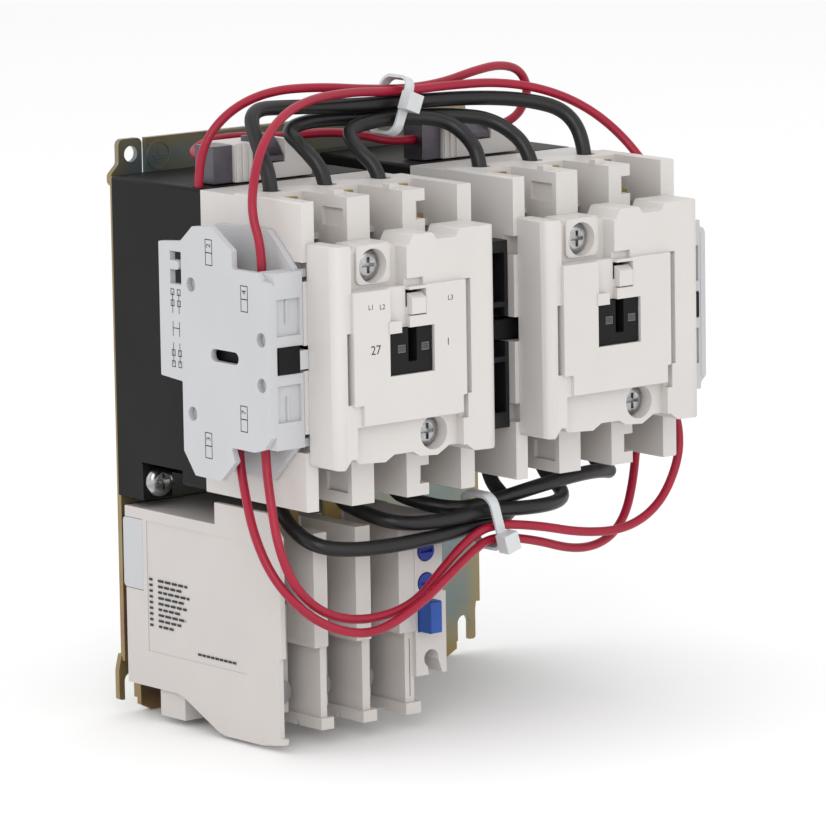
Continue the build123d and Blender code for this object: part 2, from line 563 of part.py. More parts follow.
def auxiliary_plunger(side, sign):
    with BuildPart() as plunger:
        block(aux_span(sign, 1.8, AUX_T - AUX_PLATE - 1.0), (back(-0.5), back(4)), (MID_Z - 3.9, MID_Z + 3.9))
        block(aux_span(sign, -1.4, 2.0), (back(-0.5), back(3)), (MID_Z - 3.2, MID_Z + 2.6))
        block(aux_span(sign, 4.2, AUX_T - AUX_PLATE - 1.4), (back(3), back(31)), (MID_Z - 3.2, MID_Z + 3.2))
    save(plunger.part, f"{side}_auxiliary_plunger")


def auxiliary_terminals():
    with BuildPart() as terminals:
        for sign in (-1, 1):
            for up in (-1, 1):
                for y in (11.0, 24.0):
                    layer = aux_span(sign, 4.0, 9.6)
                    z = tuple(sorted((MID_Z + up * 22.05, MID_Z + up * 23.6)))
                    block(layer, (back(y - 3.5), back(y + 3.5)), z)
    save(terminals.part, "auxiliary_terminals")


# ---- mechanical interlock between the contactors
GAP_HALF = CONTACTOR_PITCH / 2 - HALF_W - 0.25
ROCKER_Y = 30.0


def interlock_housing():
    with BuildPart() as frame:
        block((-GAP_HALF, GAP_HALF), (back(2.6), back(46)), (MID_Z - 30.5, MID_Z + 27.5))
        block((-GAP_HALF + 1.2, GAP_HALF - 1.2), (back(4.6), back(44)), (MID_Z - 29, MID_Z + 26),
              Mode.SUBTRACT)
        for z in ((8.6, 23.8), (-8.4, 7.0), (-25.6, -10.0)):
            block((-4.6, GAP_HALF - 1.4), (back(1), back(6)), (MID_Z + z[0], MID_Z + z[1]), Mode.SUBTRACT)
        for z in (7.8, -9.2):
            block((-GAP_HALF + 1, GAP_HALF - 1), (back(2.6), back(4.6)), (MID_Z + z - 0.8, MID_Z + z + 0.8))
        # slots that let the crossheads' tabs travel
        block((-GAP_HALF - 1, GAP_HALF + 1), (back(2.0), back(16)), (MID_Z - 4, MID_Z + 4), Mode.SUBTRACT)
        for z in (-22, 20):
            block((-GAP_HALF, GAP_HALF), (back(ROCKER_Y - 4), back(ROCKER_Y + 4)),
                  (MID_Z + z - 1, MID_Z + z + 1))
            rod((0, back(ROCKER_Y), MID_Z + z - 2), (0, back(ROCKER_Y), MID_Z + z + 2), 1.5, Mode.SUBTRACT)
    save(frame.part, "interlock_housing")


def interlock_rocker():
    with BuildPart() as rocker:
        rod((0, back(ROCKER_Y), MID_Z - 20), (0, back(ROCKER_Y), MID_Z + 18), 3.0)
        # a yoke with one finger behind each crosshead tab
        block((-5.0, 5.0), (back(23), back(30)), (MID_Z - 4, MID_Z + 4))
        for sign in (-1, 1):
            finger = tuple(sorted((sign * 2.6, sign * 5.0)))
            block(finger, (back(16.2), back(24)), (MID_Z - 2.6, MID_Z + 2.6))
        rod((0, back(ROCKER_Y), MID_Z - 21), (0, back(ROCKER_Y), MID_Z + 19), 1.55, Mode.SUBTRACT)
    save(rocker.part, "interlock_rocker")


def interlock_pin():
    with BuildPart() as pin:
        rod((0, back(ROCKER_Y), MID_Z - 23.8), (0, back(ROCKER_Y), MID_Z + 21.8), 1.5)
    save(pin.part, "interlock_pin")


# ---- overload relay below the left contactor
OL_X = LEFT_X - HALF_W + 0.3  # its left face
OL_W = 63.0
OL_DECK = MID_Z - 56.5
OL_BOTTOM = MID_Z - 112.0
OL_FOOT = MID_Z - 117.4
OL_FRONT = 13.3
OL_SKIN = 1.6  # the side cover's thickness
OL_STEP = MID_Z - 91.8  # the barrier walls narrow below this
OL_WALLS = ((12.0, 17.2), (28.2, 33.9), (44.9, 51.2))  # barrier walls from the left face
PACK_Y = 26.8  # front of the heater packs
DIAL_X = 55.4
DIAL_R = 3.05
DIAL_Z = (MID_Z - 67.2, MID_Z - 77.2)
TRIP_FRONT = 13.0
RESET_X = (52.2, 56.4)
RESET_Z = (MID_Z - 92.0, MID_Z - 82.0)


def overload_case():
    start = OL_X + OL_SKIN + 0.1
    with BuildPart() as case:
        block((start, OL_X + OL_W), (back(40), back(93)), (OL_BOTTOM, OL_DECK))
        # barrier walls: full width above, thinner and set back below, each on its own foot
        for left, right in OL_WALLS:
            block((OL_X + left, OL_X + right), (back(OL_FRONT), back(41)), (OL_STEP, OL_DECK))
            block((OL_X + left + 2.8, OL_X + right), (back(OL_FRONT + 1.2), back(41)), (OL_FOOT, OL_STEP + 1))
            block((OL_X + left + 1.8, OL_X + right + 1.4), (back(OL_FRONT - 0.4), back(41)),
                  (OL_FOOT, OL_FOOT + 3.6))
            block((OL_X + left, OL_X + right + 2), (back(24), back(26)), (OL_FOOT - 1, OL_FOOT + 0.9),
                  Mode.SUBTRACT)
        # terminal block under the rear half
        block((start, OL_X + 36), (back(66), back(78.6)), (MID_Z - 121.0, OL_BOTTOM + 1))
        # trip unit at the right, with the hook that holds the reset spring cover
        trip = (OL_X + OL_WALLS[2][1] - 0.2, OL_X + OL_W)
        block((trip[0], trip[1] - 1.2), (back(TRIP_FRONT), back(41)), (MID_Z - 80.5, OL_DECK))
        block(trip, (back(TRIP_FRONT), back(41)), (MID_Z - 106.0, MID_Z - 80.5))
        hook = (OL_X + 57.0, MID_Z - 101.0)
        rod((hook[0], back(10), hook[1]), (hook[0], back(30), hook[1]), 2.8, Mode.SUBTRACT)
        slab([(hook[0] - 1.6, hook[1] - 1.2), (hook[0] + 2.0, hook[1] + 1.6), (hook[0] + 4.6, hook[1] - 6.0),
              (hook[0] - 1.0, hook[1] - 6.0)], facing(back(30)), 20, 0, Mode.SUBTRACT)
        # seats of the dials and of the reset lever
        for z in DIAL_Z:
            rod((OL_X + DIAL_X, back(12), z), (OL_X + DIAL_X, back(19.2), z), DIAL_R + CLEAR, Mode.SUBTRACT)
        block((OL_X + RESET_X[0] - CLEAR, OL_X + RESET_X[1] + CLEAR), (back(12), back(26)),
              (RESET_Z[0] - CLEAR, RESET_Z[1] + CLEAR), Mode.SUBTRACT)
        # seam of the trip unit's cover on the right-hand wall
        block((OL_X + 49.4, OL_X + 49.8), (back(OL_FRONT - 1), back(OL_FRONT + 2.0)),
              (MID_Z - 112, MID_Z - 94), Mode.SUBTRACT)
    save(case.part, "overload_case")


def overload_side_cover():
    front = OL_FRONT + 0.9
    outline = [(93, -56.4), (46.6, -56.4), (46.6, -49.6), (20.5, -49.6), (front, -56.5), (front, -93.8),
               (15.6, -93.8), (15.6, -118.2), (13.6, -118.4), (13.6, -120.2), (24.4, -121.8), (43.0, -121.9),
               (46.3, -121.3), (64.4, -113.0), (67.4, -112.3), (93, -112.3)]
    with BuildPart() as cover:
        slab(at_depth(outline), sideways(OL_X), OL_SKIN, 0.3)
        # the shallow frame round the rating label
        block((OL_X - 1, OL_X + 0.25), (back(32), back(82)), (MID_Z - 101, MID_Z - 60), Mode.SUBTRACT)
        # rear corner left out for the grey latch
        block((OL_X - 1, OL_X + 3), (back(84), back(94)), (MID_Z - 82.3, MID_Z - 59.8), Mode.SUBTRACT)
    save(cover.part, "overload_side_cover")


def overload_latch():
    with BuildPart() as latch:
        block((OL_X + 0.1, OL_X + OL_SKIN), (back(84.2), back(94.2)), (MID_Z - 82.1, MID_Z - 60.0))
        fillet(latch.edges().filter_by(Axis.X).sort_by(Axis.Y)[-2:], 1.4)
    save(latch.part, "overload_latch")


def wells():
    """X centres of the three wells between the barrier walls, from the left face."""
    return (7.4, (OL_WALLS[0][1] + OL_WALLS[1][0]) / 2, (OL_WALLS[1][1] + OL_WALLS[2][0]) / 2)


def overload_heater_packs():
    with BuildPart() as packs:
        for x in wells():
            cx = OL_X + x
            block((cx - 4.5, cx + 4.5), (back(PACK_Y), back(39.8)), (OL_FOOT + 3.8, MID_Z - 80))
    save(packs.part, "overload_heater_packs")


def overload_terminals():
    """Line straps up to the contactor, brass tabs beside the walls and load screws."""
    with BuildPart() as metal:
        for x in wells():
            cx = OL_X + x
            block((cx - 3, cx + 3), (back(38), back(39.6)), (MID_Z - 79.8, MID_Z - 52))
            rod((cx, back(PACK_Y - 0.1), MID_Z - 106.5), (cx, back(PACK_Y - 2.2), MID_Z - 106.5), 4.0)
        for wall in OL_WALLS[:2]:
            edge = OL_X + wall[1]
            block((edge + 0.1, edge + 1.3), (back(15.5), back(22)), (MID_Z - 73, MID_Z - 62))
            rod((edge + 1.3, back(17.5), MID_Z - 64.5), (edge + 2.2, back(17.5), MID_Z - 64.5), 1.5)
    save(metal.part, "overload_terminals")


def overload_reset_lever():
    with BuildPart() as lever:
        block((OL_X + RESET_X[0], OL_X + RESET_X[1]), (back(6.8), back(20)), RESET_Z)
        fillet(lever.edges().filter_by(Axis.X).sort_by(Axis.Y)[:2], 0.6)
        block((OL_X + RESET_X[0] - 0.2, OL_X + RESET_X[1] + 0.2), (back(20), back(21.2)),
              (RESET_Z[0], RESET_Z[1]))
    save(lever.part, "overload_reset_lever")


def dial(name, z):
    with BuildPart() as knob:
        rod((OL_X + DIAL_X, back(19), z), (OL_X + DIAL_X, back(12.6), z), DIAL_R)
        block((OL_X + DIAL_X - 2.3, OL_X + DIAL_X + 2.3), (back(12), back(13.6)), (z - 0.5, z + 0.5),
              Mode.SUBTRACT)
    save(knob.part, name)


def overload_bracket():
    """Folded zinc plate that carries the relay on the mounting plate."""
    with BuildPart() as bracket:
        block((OL_X + 8.0, OL_X + 40), (back(93.2), PLATE_FRONT), (MID_Z - 110, MID_Z - 60))
        block((OL_X + 8.0, OL_X + 40), (back(79.0), back(94)), (MID_Z - 113.6, MID_Z - 112.2))
        block((OL_X + 8.0, OL_X + 40), (back(93.2), back(94.4)), (MID_Z - 113.6, MID_Z - 109))
    save(bracket.part, "overload_bracket")


# ---- wiring
TOP_END = MID_Z + WIRE_SEAT_Z
BOTTOM_END = MID_Z - WIRE_SEAT_Z
LEFT_POLE_X = [LEFT_X + pole for pole in POLES]
RIGHT_POLE_X = [RIGHT_X + pole for pole in POLES]
WIRE_LINE_Y = FRONT + WIRE_Y
AUX_X = CONTACTOR_PITCH / 2 + HALF_W + 6.75
AUX_TOP = MID_Z + 23.6
AUX_LOW = MID_Z - 23.6
AUX_Y = (FRONT + 11.0, FRONT + 24.0)
BLOCK_BACK_Y = -36.7  # rear face of the coil terminal blocks


def pole_run(x, end, first):
    """The straight run out of a pole's wire hole."""
    return [(x, WIRE_LINE_Y, end), (x, WIRE_LINE_Y, first)]


# All jumpers cross over at the top, so the second contactor reverses two phases.
TOP_JUMPERS = {
    "line_jumper_left_pole": (
        pole_run(LEFT_POLE_X[0], TOP_END, 83)
        + [(-62.6, -64, 93.5), (-59.5, -56, 103), (-42, -53.2, 102), (-20, -52.6, 100.4), (5.5, -52.5, 99.6),
           (31, -54.2, 99), (49, -58, 97), (60.5, -63.5, 93)]
        + pole_run(RIGHT_POLE_X[2], TOP_END, 83)[::-1]),
    "line_jumper_middle_pole": (
        pole_run(LEFT_POLE_X[1], TOP_END, 82.5)
        + [(-44.6, -63, 91), (-45, -55, 95.5), (-30, -49.9, 96.9), (-12, -49.9, 95.8), (5.5, -50.1, 95.2),
           (22, -53, 94.2), (35.5, -58.5, 92)]
        + pole_run(RIGHT_POLE_X[1], TOP_END, 82.5)[::-1]),
    "line_jumper_right_pole": (
        pole_run(LEFT_POLE_X[2], TOP_END, 81.5)
        + [(-24, -62.5, 89), (-22, -56.5, 93.8), (-10.5, -54.9, 95.3), (4.5, -54.9, 95.3),
           (15.5, -58.5, 93.5),
           (19.2, -64.5, 88.5)]
        + pole_run(RIGHT_POLE_X[0], TOP_END, 82)[::-1]),
}
BOTTOM_JUMPERS = {
    "load_jumper_left_pole": (
        pole_run(LEFT_POLE_X[0], BOTTOM_END, -16)
        + [(-65, -80, -22), (-65, -92.8, -26.2), (-52, -95.4, -28.4), (-33, -94.4, -29), (-14, -92, -28.8),
           (2, -90.2, -27.6), (15.5, -87.6, -26.8), (20.5, -79.5, -24)]
        + pole_run(RIGHT_POLE_X[0], BOTTOM_END, -17)[::-1]),
    "load_jumper_middle_pole": (
        pole_run(LEFT_POLE_X[1], BOTTOM_END, -16.5)
        + [(-37.6, -80.5, -20.6), (-32.5, -91, -23.4), (-18, -93.2, -24.2), (2, -92.2, -23.2),
           (22, -92.8, -24.6),
           (37, -87, -25), (42.5, -79, -22.5)]
        + pole_run(RIGHT_POLE_X[1], BOTTOM_END, -16.5)[::-1]),
    "load_jumper_right_pole": (
        pole_run(LEFT_POLE_X[2], BOTTOM_END, -16.5)
        + [(-15.5, -79.5, -20.2), (-7, -87.3, -22.4), (4, -87.4, -22.4), (21, -89.6, -19.2),
           (40, -88.5, -17.4),
           (54, -84.5, -18), (64.5, -79, -20.5)]
        + pole_run(RIGHT_POLE_X[2], BOTTOM_END, -17)[::-1]),
}
CONTROL_WIRES = {
    "coil_crosslink_wire": [
        (-70.4, -44.6, COIL_WIRE_SEAT_Z), (-70.4, -44.6, 85), (-68, -46.5, 95), (-59.5, -48.5, 103),
        (-46, -50, 107.2),
        (-28, -50.6, 106.8), (-10, -50.6, 104.6), (5.5, -50.6, 103.4), (21, -50, 104), (35, -48.5, 106.5),
        (47.5, -46.5, 107.4), (57.5, -44.5, 104.5), (61.5, -43.5, 96.5), (54, -43.5, CLAMP_WIRE_Z),
        (RIGHT_X + 1.4, -43.5, CLAMP_WIRE_Z)],
    "upper_auxiliary_wire": [
        (-AUX_X, AUX_Y[0], AUX_TOP), (-AUX_X, AUX_Y[0], 66), (-80.5, -84, 76), (-76.5, -80.5, 86.5),
        (-69, -75.5, 95.5),
        (-56.5, -69, 102.2), (-40, -62.2, 105.2), (-20, -56.5, 105), (-7, -54.3, 103.8), (5.5, -54, 103.3),
        (20, -54.4, 103.6), (38, -56, 103.4), (55, -58.8, 100), (69, -62.5, 93.5), (78, -68.5, 84.5),
        (81.5, -77.5, 74), (AUX_X, AUX_Y[0], 65.5), (AUX_X, AUX_Y[0], AUX_TOP)],
    "coil_common_wire": [
        (-62, BLOCK_BACK_Y, 87), (-62, -29, 87), (-55, -26.5, 90), (-44, -26.5, 91), (-26, -27.5, 89.2),
        (-11, -32, 90), (-1, -38, 88.5), (7, -41.4, 86), (RIGHT_X - 25, -41.4, 86)],
    "lower_auxiliary_wire": [
        (-AUX_X, AUX_Y[0], AUX_LOW), (-AUX_X, AUX_Y[0], 1), (-81.5, -92, -10), (-83, -97.5, -24),
        (-79, -100.5, -36.5),
        (-67.5, -101, -46), (-51, -100.6, -49.4), (-33.5, -99.8, -47), (-19.5, -96.4, -38.4),
        (-8, -94.9, -30.6),
        (2, -94.6, -27.2), (18, -96.2, -29.4), (38, -95.8, -34.5), (56, -95.6, -35.5), (70.5, -94.5, -29.5),
        (80, -92.5, -17), (82, -90.5, -6), (AUX_X, AUX_Y[0], 1), (AUX_X, AUX_Y[0], AUX_LOW)],
    "lower_coil_wire": [
        (-AUX_X, AUX_Y[1], AUX_LOW), (-AUX_X, AUX_Y[1], 1), (-82, -80, -9), (-84.5, -87.5, -21),
        (-83.8, -95.5, -33),
        (-77, -101.6, -43.5), (-66, -104.2, -50.2), (-52, -104.4, -52.8), (-36, -103.4, -47.4),
        (-22, -101.4, -40.2),
        (-9.5, -97.8, -34.6), (2, -93.8, -31.2), (20, -92.2, -34.6), (38, -91, -40.5), (52, -89.5, -40),
        (63, -86, -34), (70.5, -81.5, -23.5), (76, -77, -11), (AUX_X, AUX_Y[1], 0.5),
        (AUX_X, AUX_Y[1], AUX_LOW)],
}


def cord_radii(route):
    """Tangent arcs as large as the runs allow: 0.45 of the shorter run over the tangent of half the turn."""
    runs = [Vector(*b) - Vector(*a) for a, b in zip(route, route[1:])]
    turns = [before.get_angle(after) for before, after in zip(runs, runs[1:])]
    return [0.45 * min(before.length, after.length) / tan(radians(turn) / 2)
            for before, after, turn in zip(runs, runs[1:], turns)]


def cord(name, route, diameter):
    radii = cord_radii(route)
    with BuildPart() as tube:
        with BuildLine() as path:
            FilletPolyline(*route, radius=radii)
        with BuildSketch(Plane(origin=path.line @ 0, z_dir=path.line % 0)) as section:
            Circle(diameter / 2)
        sweep(section.sketch, path=path.line)
    length = sum(edge.length for edge in path.edges())
    ideal = pi * diameter ** 2 / 4 * length
    longest = max((Vector(*b) - Vector(*a)).length for a, b in zip(route, route[1:]))
    print(f"{name}: length {length:.0f} mm, least radius {min(radii):.1f} mm, longest run {longest:.0f} mm, "
          f"volume over section times length {tube.part.volume / ideal:.4f}")
    save(tube.part, name)


# ---- nylon ties
TIE_W = 3.2
TIE_T = 1.1
TIE_HEAD = 5.4
TIE_HEAD_DEPTH = 4.4
TOP_TIE = (-1.5, -52.5, 99.1)
BOTTOM_TIE = (2, -90.6, -26.4)


def tie_band(centre, tilt, half_y, half_z, head_z):
    """A flat strap leaning across a bundle that runs along X, with its square head in front."""
    with BuildPart() as band:
        with BuildSketch(Plane.YZ) as loop:
            RectangleRounded(2 * (half_y + TIE_T), 2 * (half_z + TIE_T), 3 + TIE_T)
            RectangleRounded(2 * half_y, 2 * half_z, 3, mode=Mode.SUBTRACT)
        extrude(loop.sketch, amount=TIE_W / 2, both=True)
        front = -half_y - TIE_T
        block((-TIE_HEAD / 2, TIE_HEAD / 2), (front - TIE_HEAD_DEPTH, front + 0.2), head_z)
    with Locations(Location(centre, (0, tilt, 0))):
        add(band.part)


def cable_ties():
    with BuildPart() as ties:
        tie_band(TOP_TIE, 22, 5.8, 8.5, (-1.2, 4.6))
        tie_band(BOTTOM_TIE, -16, 6.5, 8.3, (-9.0, -3.2))
    save(ties.part, "cable_ties")


def main():
    mounting_plate()
    for side, cx in SIDES.items():
        sign = -1 if side == "left" else 1
        magnet_base(side, cx)
        contact_housing(side, cx)
        front_cover(side, cx)
        magnet_core(side, cx)
        coil_bobbin(side, cx)
        coil(side, cx)
        armature(side, cx)
        crosshead(side, cx, -sign)
        moving_contacts(side, cx)
        contact_springs(side, cx)
        return_springs(side, cx)
        auxiliary_body(side, sign)
        auxiliary_cover(side, sign)
        auxiliary_plunger(side, sign)
    power_strips("line_terminals", 1)
    power_strips("load_terminals", -1)
    power_terminal_screws()
    cover_screws()
    base_screws()
    coil_terminals()
    auxiliary_terminals()
    interlock_housing()
    interlock_rocker()
    interlock_pin()
    overload_case()
    overload_side_cover()
    overload_latch()
    overload_heater_packs()
    overload_terminals()
    overload_reset_lever()
    dial("overload_current_dial", DIAL_Z[0])
    dial("overload_mode_dial", DIAL_Z[1])
    overload_bracket()
    for name, route in (TOP_JUMPERS | BOTTOM_JUMPERS).items():
        cord(name, route, POWER_D)
    for name, route in CONTROL_WIRES.items():
        cord(name, route, CONTROL_D)
    cable_ties()


main()
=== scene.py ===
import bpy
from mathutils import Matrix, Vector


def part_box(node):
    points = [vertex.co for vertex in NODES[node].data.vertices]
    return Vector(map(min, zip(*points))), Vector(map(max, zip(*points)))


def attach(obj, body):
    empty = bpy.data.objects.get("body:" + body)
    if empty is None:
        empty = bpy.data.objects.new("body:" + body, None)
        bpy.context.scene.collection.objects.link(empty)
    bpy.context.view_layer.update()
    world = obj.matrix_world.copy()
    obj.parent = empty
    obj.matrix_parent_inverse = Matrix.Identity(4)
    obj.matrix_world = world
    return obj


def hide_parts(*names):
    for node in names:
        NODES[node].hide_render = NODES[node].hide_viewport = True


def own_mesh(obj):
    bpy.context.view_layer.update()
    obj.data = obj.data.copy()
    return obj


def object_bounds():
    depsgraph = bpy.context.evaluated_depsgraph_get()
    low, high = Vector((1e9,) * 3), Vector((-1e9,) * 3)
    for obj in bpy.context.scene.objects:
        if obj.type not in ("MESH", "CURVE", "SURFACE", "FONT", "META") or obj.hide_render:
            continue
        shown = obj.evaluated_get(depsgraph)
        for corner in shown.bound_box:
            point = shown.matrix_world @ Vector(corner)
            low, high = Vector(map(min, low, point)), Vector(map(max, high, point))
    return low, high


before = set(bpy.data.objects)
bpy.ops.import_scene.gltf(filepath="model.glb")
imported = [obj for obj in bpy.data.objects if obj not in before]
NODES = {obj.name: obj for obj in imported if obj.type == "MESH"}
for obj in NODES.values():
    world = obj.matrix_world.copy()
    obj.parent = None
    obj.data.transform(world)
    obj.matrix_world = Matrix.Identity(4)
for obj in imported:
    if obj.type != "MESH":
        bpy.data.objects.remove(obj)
from math import radians, cos, sin

import bpy
from mathutils import Matrix, Vector

REST_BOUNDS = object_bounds()
SCENE = bpy.context.scene
MM = 0.001

# Heights in the drawings count from the plate's centre; the row's origin is at the upper fixing holes.
PLATE_CENTRE_Z = -85.2
FRONT = -99.1  # front plane of the contact housings
MID_Z = 33.0 + PLATE_CENTRE_Z  # height of the contactors' middle
CONTACTOR_X = {"left": -40.75, "right": 40.75}


def at(x, y, z):
    """A point from X, depth behind the housing front, and height above the contactors' middle, in mm."""
    return Vector((x, FRONT + y, MID_Z + z)) * MM


# ---- camera: the photograph's viewpoint
def make_camera():
    """Sets the camera from its place, direction and lens."""
    yaw, pitch, roll = radians(38.63), radians(9.38), radians(-0.92)
    forward = Vector((sin(yaw) * cos(pitch), cos(yaw) * cos(pitch), -sin(pitch)))
    right = Vector((cos(yaw), -sin(yaw), 0))
    up = right.cross(forward)
    turned_right = right * cos(roll) + up * sin(roll)
    turned_up = up * cos(roll) - right * sin(roll)
    data = bpy.data.cameras.new("camera")
    data.sensor_width = 36.0
    data.lens = 280.2
    data.clip_end = 10.0
    camera = bpy.data.objects.new("camera", data)
    rotation = Matrix((turned_right, turned_up, -forward)).transposed()
    camera.matrix_world = Matrix.Translation((-1.22965, -1.5977, 0.2435)) @ rotation.to_4x4()
    SCENE.collection.objects.link(camera)
    SCENE.camera = camera


make_camera()

# ---- free conductors: the route of each, in metres
POWER_ROUTES = {
    "line_jumper_left_pole": [
        (-0.06235, -0.0706, -0.0142), (-0.06235, -0.0706, -0.0022), (-0.0626, -0.064, 0.0083),
        (-0.0595, -0.056, 0.0178), (-0.042, -0.0532, 0.0168), (-0.02, -0.0526, 0.0152),
        (0.0055, -0.0525, 0.0144), (0.031, -0.0542, 0.0138), (0.049, -0.058, 0.0118),
        (0.0605, -0.0635, 0.0078), (0.06155, -0.0706, -0.0022), (0.06155, -0.0706, -0.0142)],
    "line_jumper_middle_pole": [
        (-0.04115, -0.0706, -0.0142), (-0.04115, -0.0706, -0.0027), (-0.0446, -0.063, 0.0058),
        (-0.045, -0.055, 0.0103), (-0.03, -0.0499, 0.0117), (-0.012, -0.0499, 0.0106),
        (0.0055, -0.0501, 0.01), (0.022, -0.053, 0.009), (0.0355, -0.0585, 0.0068),
        (0.04035, -0.0706, -0.0027), (0.04035, -0.0706, -0.0142)],
    "line_jumper_right_pole": [
        (-0.01995, -0.0706, -0.0142), (-0.01995, -0.0706, -0.0037), (-0.024, -0.0625, 0.0038),
        (-0.022, -0.0565, 0.0086), (-0.0105, -0.0549, 0.0101), (0.0045, -0.0549, 0.0101),
        (0.0155, -0.0585, 0.0083), (0.0192, -0.0645, 0.0033), (0.01915, -0.0706, -0.0032),
        (0.01915, -0.0706, -0.0142)],
    "load_jumper_left_pole": [
        (-0.06235, -0.0706, -0.0902), (-0.06235, -0.0706, -0.1012), (-0.065, -0.08, -0.1072),
        (-0.065, -0.0928, -0.1114), (-0.052, -0.0954, -0.1136), (-0.033, -0.0944, -0.1142),
        (-0.014, -0.092, -0.114), (0.002, -0.0902, -0.1128), (0.0155, -0.0876, -0.112),
        (0.0205, -0.0795, -0.1092), (0.01915, -0.0706, -0.1022), (0.01915, -0.0706, -0.0902)],
    "load_jumper_middle_pole": [
        (-0.04115, -0.0706, -0.0902), (-0.04115, -0.0706, -0.1017), (-0.0376, -0.0805, -0.1058),
        (-0.0325, -0.091, -0.1086), (-0.018, -0.0932, -0.1094), (0.002, -0.0922, -0.1084),
        (0.022, -0.0928, -0.1098), (0.037, -0.087, -0.1102), (0.0425, -0.079, -0.1077),
        (0.04035, -0.0706, -0.1017), (0.04035, -0.0706, -0.0902)],
    "load_jumper_right_pole": [
        (-0.01995, -0.0706, -0.0902), (-0.01995, -0.0706, -0.1017), (-0.0155, -0.0795, -0.1054),
        (-0.007, -0.0873, -0.1076), (0.004, -0.0874, -0.1076), (0.021, -0.0896, -0.1044),
        (0.04, -0.0885, -0.1026), (0.054, -0.0845, -0.1032), (0.0645, -0.079, -0.1057),
        (0.06155, -0.0706, -0.1022), (0.06155, -0.0706, -0.0902)],
}
CONTROL_ROUTES = {
    "coil_crosslink_wire": [
        (-0.0704, -0.0446, -0.0099), (-0.0704, -0.0446, -0.0002), (-0.068, -0.0465, 0.0098),
        (-0.0595, -0.0485, 0.0178), (-0.046, -0.05, 0.022), (-0.028, -0.0506, 0.0216),
        (-0.01, -0.0506, 0.0194), (0.0055, -0.0506, 0.0182), (0.021, -0.05, 0.0188),
        (0.035, -0.0485, 0.0213), (0.0475, -0.0465, 0.0222), (0.0575, -0.0445, 0.0193),
        (0.0615, -0.0435, 0.0113), (0.054, -0.0435, 0.0022), (0.04215, -0.0435, 0.0022)],
    "upper_auxiliary_wire": [
        (-0.08, -0.0881, -0.0286), (-0.08, -0.0881, -0.0192), (-0.0805, -0.084, -0.0092),
        (-0.0765, -0.0805, 0.0013), (-0.069, -0.0755, 0.0103), (-0.0565, -0.069, 0.017),
        (-0.04, -0.0622, 0.02), (-0.02, -0.0565, 0.0198), (-0.007, -0.0543, 0.0186),
        (0.0055, -0.054, 0.0181), (0.02, -0.0544, 0.0184), (0.038, -0.056, 0.0182), (0.055, -0.0588, 0.0148),
        (0.069, -0.0625, 0.0083), (0.078, -0.0685, -0.0007), (0.0815, -0.0775, -0.0112),
        (0.08, -0.0881, -0.0197), (0.08, -0.0881, -0.0286)],
    "coil_common_wire": [
        (-0.062, -0.0367, 0.0018), (-0.062, -0.029, 0.0018), (-0.055, -0.0265, 0.0048),
        (-0.044, -0.0265, 0.0058), (-0.026, -0.0275, 0.004), (-0.011, -0.032, 0.0048),
        (-0.001, -0.038, 0.0033), (0.007, -0.0414, 0.0008), (0.01575, -0.0414, 0.0008)],
    "lower_auxiliary_wire": [
        (-0.08, -0.0881, -0.0758), (-0.08, -0.0881, -0.0842), (-0.0815, -0.092, -0.0952),
        (-0.083, -0.0975, -0.1092), (-0.079, -0.1005, -0.1217), (-0.0675, -0.101, -0.1312),
        (-0.051, -0.1006, -0.1346), (-0.0335, -0.0998, -0.1322), (-0.0195, -0.0964, -0.1236),
        (-0.008, -0.0949, -0.1158), (0.002, -0.0946, -0.1124), (0.018, -0.0962, -0.1146),
        (0.038, -0.0958, -0.1197), (0.056, -0.0956, -0.1207), (0.0705, -0.0945, -0.1147),
        (0.08, -0.0925, -0.1022), (0.082, -0.0905, -0.0912), (0.08, -0.0881, -0.0842),
        (0.08, -0.0881, -0.0758)],
    "lower_coil_wire": [
        (-0.08, -0.0751, -0.0758), (-0.08, -0.0751, -0.0842), (-0.082, -0.08, -0.0942),
        (-0.0845, -0.0875, -0.1062), (-0.0838, -0.0955, -0.1182), (-0.077, -0.1016, -0.1287),
        (-0.066, -0.1042, -0.1354), (-0.052, -0.1044, -0.138), (-0.036, -0.1034, -0.1326),
        (-0.022, -0.1014, -0.1254), (-0.0095, -0.0978, -0.1198), (0.002, -0.0938, -0.1164),
        (0.02, -0.0922, -0.1198), (0.038, -0.091, -0.1257), (0.052, -0.0895, -0.1252),
        (0.063, -0.086, -0.1192), (0.0705, -0.0815, -0.1087), (0.076, -0.077, -0.0962),
        (0.08, -0.0751, -0.0847), (0.08, -0.0751, -0.0758)],
}

POWER_RADIUS = 0.0023
CONTROL_RADIUS = 0.0014


def route_length(route):
    """Length of the order-3 spline with a route as its control points, from its sampled centreline."""
    curve = bpy.data.curves.new("measure", "CURVE")
    fill_spline(curve, route)
    probe = bpy.data.objects.new("measure", curve)
    mesh = bpy.data.meshes.new_from_object(probe)
    points = [v.co.copy() for v in mesh.vertices]
    length = sum((b - a).length for a, b in zip(points, points[1:]))
    bpy.data.objects.remove(probe)
    bpy.data.meshes.remove(mesh)
    bpy.data.curves.remove(curve)
    return length


def fill_spline(curve, route):
    """Gives a curve an order-3 spline with a route as its control points."""
    curve.dimensions = "3D"
    curve.resolution_u = 16
    spline = curve.splines.new("NURBS")
    spline.points.add(len(route) - 1)
    for point, place in zip(spline.points, route):
        point.co = (*place, 1.0)
    spline.order_u = 3
    spline.use_endpoint_u = True


